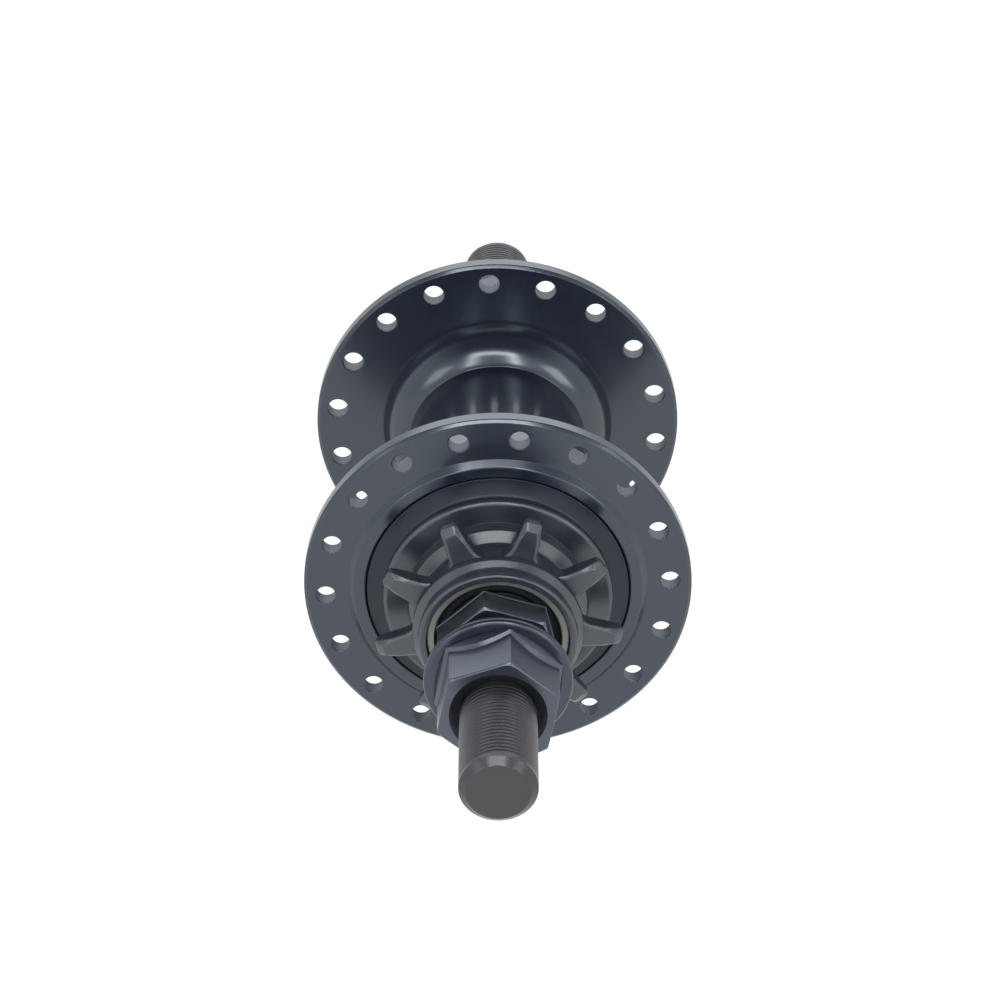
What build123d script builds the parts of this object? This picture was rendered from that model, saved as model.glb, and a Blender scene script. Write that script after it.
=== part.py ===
from build123d import *

import os
from math import cos, hypot, radians, sin, sqrt, tan

# A BMX rear hub in millimetres. The axle runs along Y through the origin, which is the middle of
# the hub. The driver with its chain cog is on the -Y side, +X is the way forward and +Z is up.
# Outlines are drawn as (radius, station), where a station is a place along the axle.

# Driving sizes of the whole hub
over_locknuts = 110.0
axle_length = 190.0
flange_spacing = 59.4
flange_radius = 36.0
flange_thickness = 3.0
spoke_circle_radius = 32.0
drive_hole_radius = 1.8
left_hole_radius = 1.96
spokes_per_flange = 18
spoke_pitch = 360 / spokes_per_flange
shell_turn = 2.9  # degrees that the shell lies turned about the axle

# Axle and what is screwed on it
thread_radius = 6.9
held_thread_radius = 6.7  # pitch radius, where a nut grips the thread
seat_radius = 7.5  # plain middle of the axle, which the bearings sit on
axle_end_chamfer = 1.1
nut_across_flats = 20.0
locknut_thickness = 5.4
axle_nut_thickness = 9.8
nut_mouth_radius = 8.6
nut_mouth_depth = 1.2
locknut_mouth_radius = 7.4
locknut_mouth_depth = 0.6
nut_corner_slope = 30.0
axle_nut_turn = 19.6
locknut_turn = 42.8
dropout_gap = 5.6
washer_radius = 13.4
washer_bore_radius = 7.2
washer_thickness = 2.0
washer_edge_chamfer = 0.4

# Sealed bearings: inner race, outer race and the seal between them
inner_race_radius = 9.2
shell_bearing_radius = 14.0
shell_bearing_width = 7.0
shell_race_bore = 12.3
outer_bearing_radius = 13.0
outer_bearing_width = 7.0
outer_race_bore = 11.5
inner_bearing_radius = 12.0
inner_bearing_width = 5.0
inner_race_bore = 10.7
seal_thickness = 0.8
seal_recess = 0.3
running_gap = 0.2

# Stack of pieces along the axle, from the drive side locknut to the left one
drive_collar_width = 2.5
driver_sleeve_length = 13.6
side_collar_width = 2.0
middle_sleeve_length = 37.5
drive_lock = -over_locknuts / 2
drive_collar = drive_lock + locknut_thickness
outer_bearing = drive_collar + drive_collar_width
driver_sleeve = outer_bearing + outer_bearing_width
inner_bearing = driver_sleeve + driver_sleeve_length
side_collar = inner_bearing + inner_bearing_width
drive_bearing = side_collar + side_collar_width
middle_sleeve = drive_bearing + shell_bearing_width
left_bearing = middle_sleeve + middle_sleeve_length
left_cone = left_bearing + shell_bearing_width
left_lock = over_locknuts / 2 - locknut_thickness
axle_seat_end = left_lock
drive_washer = drive_lock - dropout_gap - washer_thickness
left_washer = over_locknuts / 2 + dropout_gap
sleeve_radius = 9.0

# Hub shell
drive_flange = -flange_spacing / 2
left_flange = flange_spacing / 2
half_flange = flange_thickness / 2
rim_chamfer = 0.6
barrel_radius = 17.6
barrel_bore = 13.2
well_radius = 24.4
well_step = 1.0
well_floor = drive_bearing - well_step
lip_height = 0.7
lip_station = drive_flange - half_flange - lip_height
lip_outer_radius = 27.4
lip_foot_radius = 29.0
ratchet_housing_radius = 27.0
ratchet_housing_end = -18.4
ratchet_shoulder_end = -12.0
left_housing_radius = 22.8
left_shoulder_foot = 20.8
left_shoulder_middle_radius = 21.4
left_shoulder_middle = 23.7
ratchet_shoulder_chamfer = 1.6
left_boss_radius = 19.0
left_boss_end = 33.2
left_seal_start = 32.2
left_seal_bore = 11.9

# Ratchet ring and pawls
ratchet_teeth = 36
ratchet_pitch = 360 / ratchet_teeth
ratchet_tip_radius = 20.2
ratchet_root_radius = 21.6
ratchet_face_lead = 0.55  # degrees from a pawl's tip to the root of the steep face it bears on
ratchet_face_lean = 3.7  # degrees that the face leans, so that its push goes through the pivot
ratchet_inset = 0.7
ratchet_start = drive_flange + ratchet_inset
ratchet_length = 8.0
pawl_count = 3
pawl_pivot_radius = 16.2
pawl_heel_radius = 1.7
pawl_tip_radius = 21.3
pawl_tip_inner_radius = 19.0
pawl_tip_angle = 27.8  # clockwise from the pivot, seen from the drive side
pawl_nose_radius = 20.43
pawl_nose_angle = 30.08
pawl_inset = 1.4
pawl_start = drive_flange + pawl_inset
pawl_length = 6.0
pawl_play = 0.08
heel_play = 0.05
pawl_turn = 62.2
pocket_floor = 14.3
pocket_reach = 10.9
pocket_mouth = 24.0
spring_thickness = 0.3
spring_length = 6.2
spring_width = 4.0

# Driver with its cog
chain_pitch = 12.7
cog_teeth = 9
cog_pitch_radius = chain_pitch / (2 * sin(radians(180 / cog_teeth)))
roller_seat_radius = 3.95
cog_tip_radius = 22.6
cog_front = -44.6
cog_thickness = 2.9
cog_bevel_width = 1.0
cog_bevel_depth = 0.5
cog_inset = 2.5
cog_turn = 13.5  # middle of a tooth gap
roller_seat_spread = 62.0  # each side of a gap's deepest point
tooth_flank_length = 8.0
tooth_tip_round = 0.7
bearing_recess = 1.5
driver_face = outer_bearing - bearing_recess
neck_radius = 14.5
collar_edge_chamfer = 0.4
dust_flange_front = -35.4
dust_flange_step = -33.8
dust_flange_back = -31.0
dust_flange_radius = 21.3
dust_skirt_radius = 22.8
dust_flange_bevel = 0.5
carrier_radius = 18.6
carrier_end = inner_bearing + inner_bearing_width
driver_bore = 11.0


def across(station):
    """Plane square to the axle at a station, seen from the drive side with X to the right."""
    return Plane.XZ.offset(-station)


def polar_point(radius, angle):
    """Point of a cross-section at a radius and an angle counter-clockwise from X."""
    return (radius * cos(radians(angle)), radius * sin(radians(angle)))


def finish(piece, label):
    """Name a finished piece and write its file."""
    piece.part.label = label
    export_step(piece.part, f"parts/{label}.step")


def turned(outline):
    """Piece turned about the axle from a closed outline of (radius, station) corners."""
    with BuildPart() as piece:
        with BuildSketch(Plane.XY):
            with BuildLine():
                Polyline(*outline, close=True)
            make_face()
        revolve(axis=Axis.Y)
    return piece


def ring(bore_radius, radius, start, length):
    """Plain ring about the axle."""
    end = start + length
    return turned([(bore_radius, start), (radius, start), (radius, end), (bore_radius, end)])


def hex_nut(face, outward, thickness, turn):
    """Hexagon nut whose outer face is at a station, with the corners of both faces turned off."""
    corner_radius = nut_across_flats / sqrt(3)
    shoulder = nut_across_flats / 2
    drop = (corner_radius - shoulder) * tan(radians(nut_corner_slope)) * outward
    back = face - outward * thickness
    with BuildPart() as nut:
        with BuildSketch(across(face)):
            RegularPolygon(corner_radius, 6, rotation=turn)
            Circle(held_thread_radius, mode=Mode.SUBTRACT)
        extrude(amount=outward * thickness)
        with BuildSketch(Plane.XY):
            with BuildLine():
                Polyline(
                    (0, face),
                    (shoulder, face),
                    (corner_radius, face - drop),
                    (corner_radius, back + drop),
                    (shoulder, back),
                    (0, back),
                    close=True,
                )
            make_face()
        revolve(axis=Axis.Y, mode=Mode.INTERSECT)
    return nut


def open_mouth(nut, face, outward, mouth_radius, mouth_depth):
    """Countersink a nut's thread where it opens in its outer face."""
    with BuildPart() as opened:
        add(nut.part)
        with BuildSketch(Plane.XY):
            with BuildLine():
                Polyline(
                    (held_thread_radius, face),
                    (mouth_radius, face),
                    (held_thread_radius, face - outward * mouth_depth),
                    close=True,
                )
            make_face()
        revolve(axis=Axis.Y, mode=Mode.SUBTRACT)
    return opened


os.makedirs("parts", exist_ok=True)

# Axle: threaded ends, plain middle. Inside a nut the thread is drawn at its pitch radius.
axle_end = axle_length / 2
nut_far_end = -drive_washer + axle_nut_thickness
half_axle = [
    (seat_radius, axle_seat_end),
    (held_thread_radius, axle_seat_end),
    (held_thread_radius, over_locknuts / 2),
    (thread_radius, over_locknuts / 2),
    (thread_radius, -drive_washer),
    (held_thread_radius, -drive_washer),
    (held_thread_radius, nut_far_end),
    (thread_radius, nut_far_end),
    (thread_radius, axle_end - axle_end_chamfer),
    (thread_radius - axle_end_chamfer, axle_end),
    (0, axle_end),
]
axle = turned([(radius, -station) for radius, station in reversed(half_axle)] + half_axle)
finish(axle, "axle")

# Hexagon nuts with countersunk threads: locknuts inside the dropouts, axle nuts outside
for side, outward in (("drive", -1), ("left", 1)):
    lock_face = outward * over_locknuts / 2
    locknut = hex_nut(lock_face, outward, locknut_thickness, locknut_turn)
    locknut = open_mouth(locknut, lock_face, outward, locknut_mouth_radius, locknut_mouth_depth)
    finish(locknut, f"{side}_locknut")
    nut_face = outward * nut_far_end
    axle_nut = hex_nut(nut_face, outward, axle_nut_thickness, axle_nut_turn)
    axle_nut = open_mouth(axle_nut, nut_face, outward, nut_mouth_radius, nut_mouth_depth)
    finish(axle_nut, f"{side}_axle_nut")

# Washers outside the dropouts, bevelled on the edge that shows
for label, inner_face, outward in (
    ("drive_washer", drive_washer + washer_thickness, -1),
    ("left_washer", left_washer, 1),
):
    outer_face = inner_face + outward * washer_thickness
    washer = turned(
        [
            (washer_bore_radius, inner_face),
            (washer_radius, inner_face),
            (washer_radius, outer_face - outward * washer_edge_chamfer),
            (washer_radius - washer_edge_chamfer, outer_face),
            (washer_bore_radius, outer_face),
        ]
    )
    finish(washer, label)

# Collars and sleeves that hold the bearings apart on the axle
drive_collar_ring = ring(seat_radius, inner_race_radius, drive_collar, drive_collar_width)
finish(drive_collar_ring, "drive_collar")
driver_sleeve_tube = ring(seat_radius, sleeve_radius, driver_sleeve, driver_sleeve_length)
finish(driver_sleeve_tube, "driver_sleeve")
side_collar_ring = ring(seat_radius, sleeve_radius, side_collar, side_collar_width)
finish(side_collar_ring, "side_collar")
middle_sleeve_tube = ring(seat_radius, sleeve_radius, middle_sleeve, middle_sleeve_length)
finish(middle_sleeve_tube, "middle_sleeve")

# Left cone: a tapered spacer with a dust collar that covers the left bearing's seal
cone_nose_radius = 11.6
cone_root_radius = 12.4
cone_collar_radius = 14.6
cone_tail_radius = 10.2
cone_collar_gap = 0.4
cone_collar_width = 2.2
cone_collar_start = left_boss_end + cone_collar_gap
cone_collar_end = cone_collar_start + cone_collar_width
left_cone_spacer = turned(
    [
        (seat_radius, left_cone),
        (inner_race_radius, left_cone),
        (inner_race_radius, left_cone + running_gap),
        (cone_nose_radius, left_cone + running_gap),
        (cone_nose_radius, cone_collar_start),
        (cone_collar_radius, cone_collar_start),
        (cone_collar_radius, cone_collar_end),
        (cone_root_radius, cone_collar_end),
        (cone_tail_radius, left_lock),
        (seat_radius, left_lock),
    ]
)
finish(left_cone_spacer, "left_cone")

# Sealed bearings
bearings = (
    ("driver_outer_bearing", outer_bearing, outer_bearing_width, outer_bearing_radius, outer_race_bore),
    ("driver_inner_bearing", inner_bearing, inner_bearing_width, inner_bearing_radius, inner_race_bore),
    ("drive_shell_bearing", drive_bearing, shell_bearing_width, shell_bearing_radius, shell_race_bore),
    ("left_shell_bearing", left_bearing, shell_bearing_width, shell_bearing_radius, shell_race_bore),
)
for name, start, width, radius, race_bore in bearings:
    inner_race = ring(seat_radius, inner_race_radius, start, width)
    finish(inner_race, f"{name}_inner_race")
    outer_race = ring(race_bore, radius, start, width)
    finish(outer_race, f"{name}_outer_race")
driver_seal = ring(
    inner_race_radius + running_gap, outer_race_bore, outer_bearing + seal_recess, seal_thickness
)
finish(driver_seal, "driver_bearing_seal")
left_dust_seal = ring(
    left_seal_bore, shell_bearing_radius, left_seal_start, left_boss_end - left_seal_start
)
finish(left_dust_seal, "left_dust_seal")

# Hub shell: two drilled flanges on a waisted barrel, with the ratchet well on the drive side
drive_face = drive_flange - half_flange
drive_back = drive_flange + half_flange
left_inside = left_flange - half_flange
left_outside = left_flange + half_flange
ratchet_shoulder_top = (ratchet_housing_radius, ratchet_housing_end)
with BuildPart() as hub_shell:
    with BuildSketch(Plane.XY) as shell_section:
        with BuildLine():
            Polyline(
                (well_radius, lip_station),
                (lip_outer_radius, lip_station),
                (lip_foot_radius, drive_face),
                (flange_radius, drive_face),
                (flange_radius, drive_back),
                (ratchet_housing_radius, drive_back),
                ratchet_shoulder_top,
                (barrel_radius, ratchet_shoulder_end),
                (barrel_radius, left_shoulder_foot),
                (left_shoulder_middle_radius, left_shoulder_middle),
                (left_housing_radius, left_inside),
                (flange_radius, left_inside),
                (flange_radius, left_outside),
                (left_boss_radius, left_outside),
                (left_boss_radius, left_boss_end),
                (shell_bearing_radius, left_boss_end),
                (shell_bearing_radius, left_bearing),
                (barrel_bore, left_bearing),
                (barrel_bore, middle_sleeve),
                (shell_bearing_radius, middle_sleeve),
                (shell_bearing_radius, well_floor),
                (well_radius, well_floor),
                close=True,
            )
        make_face()
        chamfer(shell_section.vertices().group_by(Axis.X)[-1], rim_chamfer)
        housing_corner = shell_section.vertices().sort_by_distance(ratchet_shoulder_top)[0]
        chamfer(housing_corner, ratchet_shoulder_chamfer)
    revolve(axis=Axis.Y)
    for station, turn, hole_radius in (
        (drive_flange, shell_turn, drive_hole_radius),
        (left_flange, shell_turn + spoke_pitch / 2, left_hole_radius),
    ):
        with BuildSketch(across(station)):
            with PolarLocations(spoke_circle_radius, spokes_per_flange, start_angle=turn):
                Circle(hole_radius)
        extrude(amount=flange_thickness, both=True, mode=Mode.SUBTRACT)
finish(hub_shell, "hub_shell")

# Ratchet ring: every tooth has a steep face that a pawl pushes clockwise, and a long ramp
tooth_outline = []
for tooth in range(ratchet_teeth):
    face_root = pawl_turn - pawl_tip_angle + ratchet_face_lead - tooth * ratchet_pitch
    tooth_outline.append(polar_point(ratchet_root_radius, face_root))
    tooth_outline.append(polar_point(ratchet_tip_radius, face_root - ratchet_face_lean))
with BuildPart() as ratchet_ring:
    with BuildSketch(across(ratchet_start)):
        Circle(well_radius)
        with BuildLine():
            Polyline(*tooth_outline, close=True)
        make_face(mode=Mode.SUBTRACT)
    extrude(amount=-ratchet_length)
finish(ratchet_ring, "ratchet_ring")


def pawl_frame(index):
    """Plane whose X runs out through a pawl's pivot and whose Y runs clockwise, in the cross-section."""
    angle = radians(pawl_turn + index * 360 / pawl_count)
    outwards = Vector(cos(angle), 0, sin(angle))
    return Plane(origin=(0, pawl_start, 0), x_dir=outwards, z_dir=(0, 1, 0))


# Pawls: a round heel that rocks in the driver, and an arm up to the ratchet
pawl_tip_outer = polar_point(pawl_tip_radius, pawl_tip_angle - pawl_play)
pawl_nose = polar_point(pawl_nose_radius, pawl_nose_angle - pawl_play)
pawl_tip_inner = polar_point(pawl_tip_inner_radius, pawl_tip_angle - pawl_play)
for index in range(pawl_count):
    with BuildPart() as pawl:
        with BuildSketch(pawl_frame(index)):
            with BuildLine():
                Polyline(
                    (pawl_pivot_radius + pawl_heel_radius, 0),
                    pawl_tip_outer,
                    pawl_nose,
                    pawl_tip_inner,
                    (pawl_pivot_radius - pawl_heel_radius, 0),
                    close=True,
                )
            make_face()
            with Locations((pawl_pivot_radius, 0)):
                Circle(pawl_heel_radius)
        extrude(amount=pawl_length)
    finish(pawl, f"pawl_{index + 1}")

# Gap between two cog teeth: a roller seat with a straight flank tangent to it on each side
with BuildSketch() as tooth_gap:
    with BuildLine():
        seat = CenterArc((cog_pitch_radius, 0), roller_seat_radius, 180, -roller_seat_spread)
        flank = PolarLine(seat @ 1, tooth_flank_length, direction=seat % 1)
        Line(flank @ 1, ((flank @ 1).X, 0))
        mirror(about=Plane.XZ)
    make_face()

# Chain cog: nine teeth with rounded tips, bevelled on both sides
with BuildPart() as cog:
    with BuildSketch(across(cog_front)):
        Circle(cog_tip_radius)
        with PolarLocations(0, cog_teeth, start_angle=cog_turn):
            add(tooth_gap.sketch, mode=Mode.SUBTRACT)
        Circle(driver_bore + cog_inset, mode=Mode.SUBTRACT)
    extrude(amount=-cog_thickness)
    tip_edges = cog.edges().filter_by(Axis.Y).group_by(
        lambda edge: round(hypot(edge.center().X, edge.center().Z), 2)
    )[-1]
    fillet(tip_edges, tooth_tip_round)
    with BuildSketch(Plane.XY):
        with BuildLine():
            Polyline(
                (0, cog_front),
                (cog_tip_radius - cog_bevel_width, cog_front),
                (cog_tip_radius, cog_front + cog_bevel_depth),
                (cog_tip_radius, cog_front + cog_thickness - cog_bevel_depth),
                (cog_tip_radius - cog_bevel_width, cog_front + cog_thickness),
                (0, cog_front + cog_thickness),
                close=True,
            )
        make_face()
    revolve(axis=Axis.Y, mode=Mode.INTERSECT)

# Driver: collar, neck, dust flange and pawl carrier in one turning, with the cog on its neck
with BuildPart() as driver_body:
    with BuildSketch(Plane.XY):
        with BuildLine():
            Polyline(
                (outer_bearing_radius, driver_face),
                (neck_radius - collar_edge_chamfer, driver_face),
                (neck_radius, driver_face + collar_edge_chamfer),
                (neck_radius, dust_flange_front),
                (dust_flange_radius - dust_flange_bevel, dust_flange_front),
                (dust_flange_radius, dust_flange_front + dust_flange_bevel),
                (dust_flange_radius, dust_flange_step),
                (dust_skirt_radius, dust_flange_step),
                (dust_skirt_radius, dust_flange_back),
                (carrier_radius, dust_flange_back),
                (carrier_radius, carrier_end),
                (inner_bearing_radius, carrier_end),
                (inner_bearing_radius, inner_bearing),
                (driver_bore, inner_bearing),
                (driver_bore, driver_sleeve),
                (outer_bearing_radius, driver_sleeve),
                close=True,
            )
        make_face()
    revolve(axis=Axis.Y)
    add(cog.part)
    for index in range(pawl_count):
        with BuildSketch(pawl_frame(index)):
            with Locations((pawl_pivot_radius, 0)):
                Circle(pawl_heel_radius + heel_play)
            with BuildLine():
                Polyline(
                    (pocket_floor, 0),
                    (pocket_floor, pocket_reach),
                    (pocket_mouth, pocket_reach),
                    (pawl_pivot_radius + pawl_heel_radius + heel_play, 0),
                    close=True,
                )
            make_face()
        extrude(amount=carrier_end - pawl_start, mode=Mode.SUBTRACT)
finish(driver_body, "driver_body")

# Leaf springs that push the pawls out, drawn pressed flat on the pocket floors
with BuildPart() as pawl_springs:
    for index in range(pawl_count):
        with BuildSketch(pawl_frame(index)):
            with Locations((pocket_floor + spring_thickness / 2, pocket_reach - spring_length / 2)):
                Rectangle(spring_thickness, spring_length)
        extrude(amount=spring_width)
finish(pawl_springs, "pawl_springs")
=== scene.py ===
"""Looks of a BMX rear hub, worked out round its packed construction.

Every piece is a surface computed with numpy in the frame of the construction: the axle runs along Y, the
driver with its chain cog is on the -Y side, and +Z is up. Sizes here are millimetres, and meshes are metres.
An outline is drawn as (radius, station), where a station is a place along the axle.
"""

import logging
import math
from dataclasses import dataclass, replace
from enum import Enum

import bpy
import numpy as np
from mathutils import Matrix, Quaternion, Vector

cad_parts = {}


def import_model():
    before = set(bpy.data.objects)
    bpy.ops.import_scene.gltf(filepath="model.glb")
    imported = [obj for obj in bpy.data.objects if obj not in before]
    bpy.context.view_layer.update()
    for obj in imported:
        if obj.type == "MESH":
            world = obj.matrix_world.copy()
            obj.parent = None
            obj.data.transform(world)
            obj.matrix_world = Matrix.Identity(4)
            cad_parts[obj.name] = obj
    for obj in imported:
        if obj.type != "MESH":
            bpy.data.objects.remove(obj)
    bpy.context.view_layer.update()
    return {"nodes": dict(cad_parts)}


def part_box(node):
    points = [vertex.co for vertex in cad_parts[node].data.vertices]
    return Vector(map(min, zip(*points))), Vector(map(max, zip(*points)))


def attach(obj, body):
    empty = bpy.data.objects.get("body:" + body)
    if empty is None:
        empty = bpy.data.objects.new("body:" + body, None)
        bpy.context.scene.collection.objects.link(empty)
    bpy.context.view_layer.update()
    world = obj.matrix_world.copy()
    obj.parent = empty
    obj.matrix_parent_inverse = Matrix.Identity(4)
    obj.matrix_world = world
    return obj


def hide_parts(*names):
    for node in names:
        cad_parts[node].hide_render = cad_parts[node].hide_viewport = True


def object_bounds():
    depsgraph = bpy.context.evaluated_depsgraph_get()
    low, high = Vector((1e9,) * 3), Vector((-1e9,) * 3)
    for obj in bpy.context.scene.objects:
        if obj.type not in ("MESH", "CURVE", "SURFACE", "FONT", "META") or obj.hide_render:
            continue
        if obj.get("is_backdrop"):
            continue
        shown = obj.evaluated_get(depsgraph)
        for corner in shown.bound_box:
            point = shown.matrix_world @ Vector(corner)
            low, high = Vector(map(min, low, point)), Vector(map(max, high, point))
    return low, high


LOG = logging.getLogger("bmx_rear_hub")
MM = 0.001
FULL_TURN = 2 * math.pi
# Cells to the metre and octaves of the noises, and the fine one's values where a rub starts and is full
SLOW_NOISE, FINE_NOISE, MARK_OCTAVES = (90.0, 4), (900.0, 3), 2
RUBBED = (0.78, 0.84)
# Share of X in the place of turned marks, which keeps their rings from being perfect
DRIFT = 0.02
Array, Socket = np.ndarray, bpy.types.NodeSocket
Triple = tuple[float, float, float]
Outline = list[tuple[float | Array, ...]]


class Body(Enum):
    """Rigid bodies of the construction that a piece can ride on."""

    AXLE = "axle_assembly"
    HUB = "hub"
    DRIVER = "driver"


class Side(Enum):
    """The two ends of the axle, with the direction of each along Y."""

    DRIVE = -1
    LEFT = 1


class Grain(Enum):
    """How the tool marks of a surface run."""

    TURNED = "rings about the axle"
    CAST = "even speckle"


@dataclass(frozen=True)
class Graph:
    """Node tree of a material or of the world, with short ways to add nodes and to feed them."""

    tree: bpy.types.NodeTree

    def feed(self, node: bpy.types.Node, inputs: dict[str | int, object]) -> bpy.types.Node:
        """Link each input that is given a socket and set each one that is given a value.

        Args:
            node: node to feed.
            inputs: sockets and values by the input's name or number.

        Returns:
            The node.
        """
        for name, value in inputs.items():
            if isinstance(value, Socket):
                self.tree.links.new(value, node.inputs[name])
            else:
                node.inputs[name].default_value = value
        return node

    def add(self, kind: str, inputs: dict[str | int, object], **settings: str) -> bpy.types.Node:
        """Add a shader node.

        Args:
            kind: its type, without the prefix that all shader nodes have.
            inputs: sockets and values by the input's name or number.
            **settings: its own settings, which are made before the inputs.

        Returns:
            The node.
        """
        node = self.tree.nodes.new(f"ShaderNode{kind}")
        for name, value in settings.items():
            setattr(node, name, value)
        return self.feed(node, inputs)

    def number(self, operation: str, *values: Socket | float) -> Socket:
        """Work out a number from one or two others."""
        return self.add("Math", dict(enumerate(values)), operation=operation).outputs[0]

    def noise(self, place: Socket, cells: float, octaves: float) -> Socket:
        """Give a noise with a number of cells to the metre and a number of octaves."""
        return self.add("TexNoise", {"Vector": place, "Scale": cells, "Detail": octaves}).outputs["Fac"]

    def blend(self, share: Socket, first: Socket | tuple, last: Socket | tuple) -> Socket:
        """Mix two colours by a share."""
        return self.add("Mix", {"Factor": share, "A": first, "B": last}, data_type="RGBA").outputs["Result"]

    def spread(self, value: Socket, source: tuple[float, float], target: tuple[float, float] = (0.0, 1.0),
               **settings: str) -> Socket:
        """Carry a value from one range to another, held at its ends."""
        inputs = {"Value": value, "From Min": source[0], "From Max": source[1], "To Min": target[0],
                  "To Max": target[1]}
        return self.add("MapRange", inputs, **settings).outputs["Result"]


@dataclass(frozen=True)
class Finish:
    """A metal or rubber surface with its own fine texture.

    Colours are linear.

    Attributes:
        slot: material slot of the record that it belongs to; not used.
        grain_size, grain_depth: mean distance and depth of the tool marks, in millimetres.
        mottle, smear: shares by which the colour and the roughness wander.
        specular, tint: level and colour of the non-metallic reflection.
        ior: refractive index of the surface's own film.
        light_marks: colour of rubbed places.
        wear: how far below RUBBED's first value the fine noise already shows rubbed places.
    """

    name: str
    slot: str
    colour: Triple
    metallic: float
    roughness: float
    grain: Grain = Grain.TURNED
    grain_size: float = 0.25
    grain_depth: float = 0.004
    mottle: float = 0.25
    smear: float = 0.18
    specular: float = 0.5
    tint: Triple = (1.0, 1.0, 1.0)
    ior: float = 1.5
    light_marks: Triple = (0.2, 0.2, 0.21)
    wear: float = 0.02

    def material(self) -> bpy.types.Material:
        """Give the finish's node material, made on first use.

        The colour wanders with a slow noise and is rubbed where a finer one peaks. The roughness wanders with
        the sum of the slow noise and the tool marks, and the bump follows the tool marks.

        Returns:
            The material.
        """
        made = bpy.data.materials.get(self.name)
        if made:
            return made
        made = bpy.data.materials.new(self.name)
        made.use_nodes = True
        made.diffuse_color = (*self.colour, 1)
        graph = Graph(made.node_tree)
        place = graph.add("TexCoord", {}).outputs["Object"]
        marks = graph.noise(self.mark_place(graph, place), 1 / (self.grain_size * MM), MARK_OCTAVES)
        slow, fine = graph.noise(place, *SLOW_NOISE), graph.noise(place, *FINE_NOISE)
        dark, light = ((*(c * share for c in self.colour), 1) for share in (1 - self.mottle, 1 + self.mottle))
        rubbed = graph.spread(fine, (RUBBED[0] - self.wear, RUBBED[1]))
        bump = graph.add("Bump", {"Strength": 1.0, "Distance": self.grain_depth * MM, "Height": marks})
        graph.feed(made.node_tree.nodes["Principled BSDF"], {
            "Base Color": graph.blend(rubbed, graph.blend(slow, dark, light), (*self.light_marks, 1)),
            "Metallic": self.metallic,
            "Roughness": graph.spread(
                graph.number("ADD", slow, marks), (0.5, 1.5),
                (self.roughness * (1 - self.smear), self.roughness * (1 + self.smear))),
            "Specular IOR Level": self.specular,
            "Specular Tint": (*self.tint, 1),
            "IOR": self.ior,
            "Normal": bump.outputs["Normal"],
        })
        return made

    def mark_place(self, graph: Graph, place: Socket) -> Socket:
        """Give the coordinates that the tool marks follow.

        Args:
            graph: node tree to work in.
            place: object coordinates.

        Returns:
            (radius, station, a little of X) for turned pieces, so that each mark is a ring about the axle,
            and the place itself otherwise.
        """
        if self.grain is Grain.CAST:
            return place
        x, y, z = graph.add("SeparateXYZ", {0: place}).outputs
        squares = graph.number("ADD", graph.number("MULTIPLY", x, x), graph.number("MULTIPLY", z, z))
        rings = {"X": graph.number("SQRT", squares), "Y": y, "Z": graph.number("MULTIPLY", x, DRIFT)}
        return graph.add("CombineXYZ", rings).outputs[0]


SHELL_BLACK = Finish("anodised_shell", "shell_black", (0.009, 0.012, 0.022), 0.0, 0.19, specular=0.74,
                     tint=(0.84, 0.96, 1.0), ior=1.6, grain_size=0.35, grain_depth=0.0004, mottle=0.1,
                     light_marks=(0.03, 0.035, 0.045), wear=0.0)
HOLE_WALL = Finish("drilled_wall", "shell_black", (0.155, 0.165, 0.19), 0.0, 0.7, grain=Grain.CAST,
                   light_marks=(0.18, 0.19, 0.2))
DRIVER_BLACK = Finish("satin_driver", "driver_black", (0.014, 0.017, 0.026), 0.0, 0.33, specular=0.8,
                      tint=(0.9, 0.97, 1.0), ior=1.62, grain_size=0.3, grain_depth=0.00012, mottle=0.08,
                      light_marks=(0.05, 0.053, 0.062))
DUST_BLACK = Finish("anodised_dust_ring", "driver_black", (0.009, 0.012, 0.020), 0.0, 0.36, specular=0.34,
                    tint=(0.84, 0.96, 1.0), ior=1.6, grain_depth=0.0004, light_marks=(0.03, 0.035, 0.045),
                    wear=0.0)
AXLE_BLACK = Finish("oxide_axle", "axle_black", (0.058, 0.057, 0.063), 0.6, 0.29, grain=Grain.CAST,
                    grain_size=0.12, mottle=0.2, specular=0.7, light_marks=(0.2, 0.19, 0.18), wear=0.03)
NUT_BLACK = Finish("plated_nut", "nut_black", (0.102, 0.114, 0.140), 0.9, 0.31, grain=Grain.CAST,
                   grain_size=0.5, grain_depth=0.003, mottle=0.12, light_marks=(0.2, 0.2, 0.22))
WASHER_BLACK = Finish("plated_washer", "washer_black", (0.075, 0.085, 0.105), 0.95, 0.28, grain_size=0.2,
                      grain_depth=0.002, mottle=0.14, light_marks=(0.25, 0.25, 0.27))
SPACER_BLACK = Finish("black_spacer", "spacer_black", (0.030, 0.033, 0.045), 0.6, 0.4)
CONE_BLACK = replace(SHELL_BLACK, name="anodised_cone", slot="cone_black", grain_size=0.25, mottle=0.25)
SPACER_BARE = Finish("turned_spacer", "spacer_bare", (0.62, 0.63, 0.65), 1.0, 0.32)
# Steel darkened far below its own colour: painted shade of the well round the ratchet ring
RATCHET_PAINTED_SHADE = Finish("ratchet_painted_shade", "ratchet_steel", (0.035, 0.037, 0.045), 0.9, 0.45)
PAWL_STEEL = Finish("oiled_pawl", "pawl_steel", (0.38, 0.38, 0.4), 1.0, 0.34, grain=Grain.CAST)
SPRING_STEEL = Finish("spring_strip", "spring_steel", (0.45, 0.45, 0.47), 1.0, 0.28, grain=Grain.CAST)
BEARING_STEEL = Finish("ground_race", "bearing_steel", (0.30, 0.30, 0.272), 0.85, 0.48, grain_size=0.12,
                       grain_depth=0.001, mottle=0.06, light_marks=(0.3, 0.28, 0.24), wear=0.0)
SHADED_RACE = Finish("shaded_race", "bearing_steel", (0.03, 0.031, 0.036), 0.9, 0.5)
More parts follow.
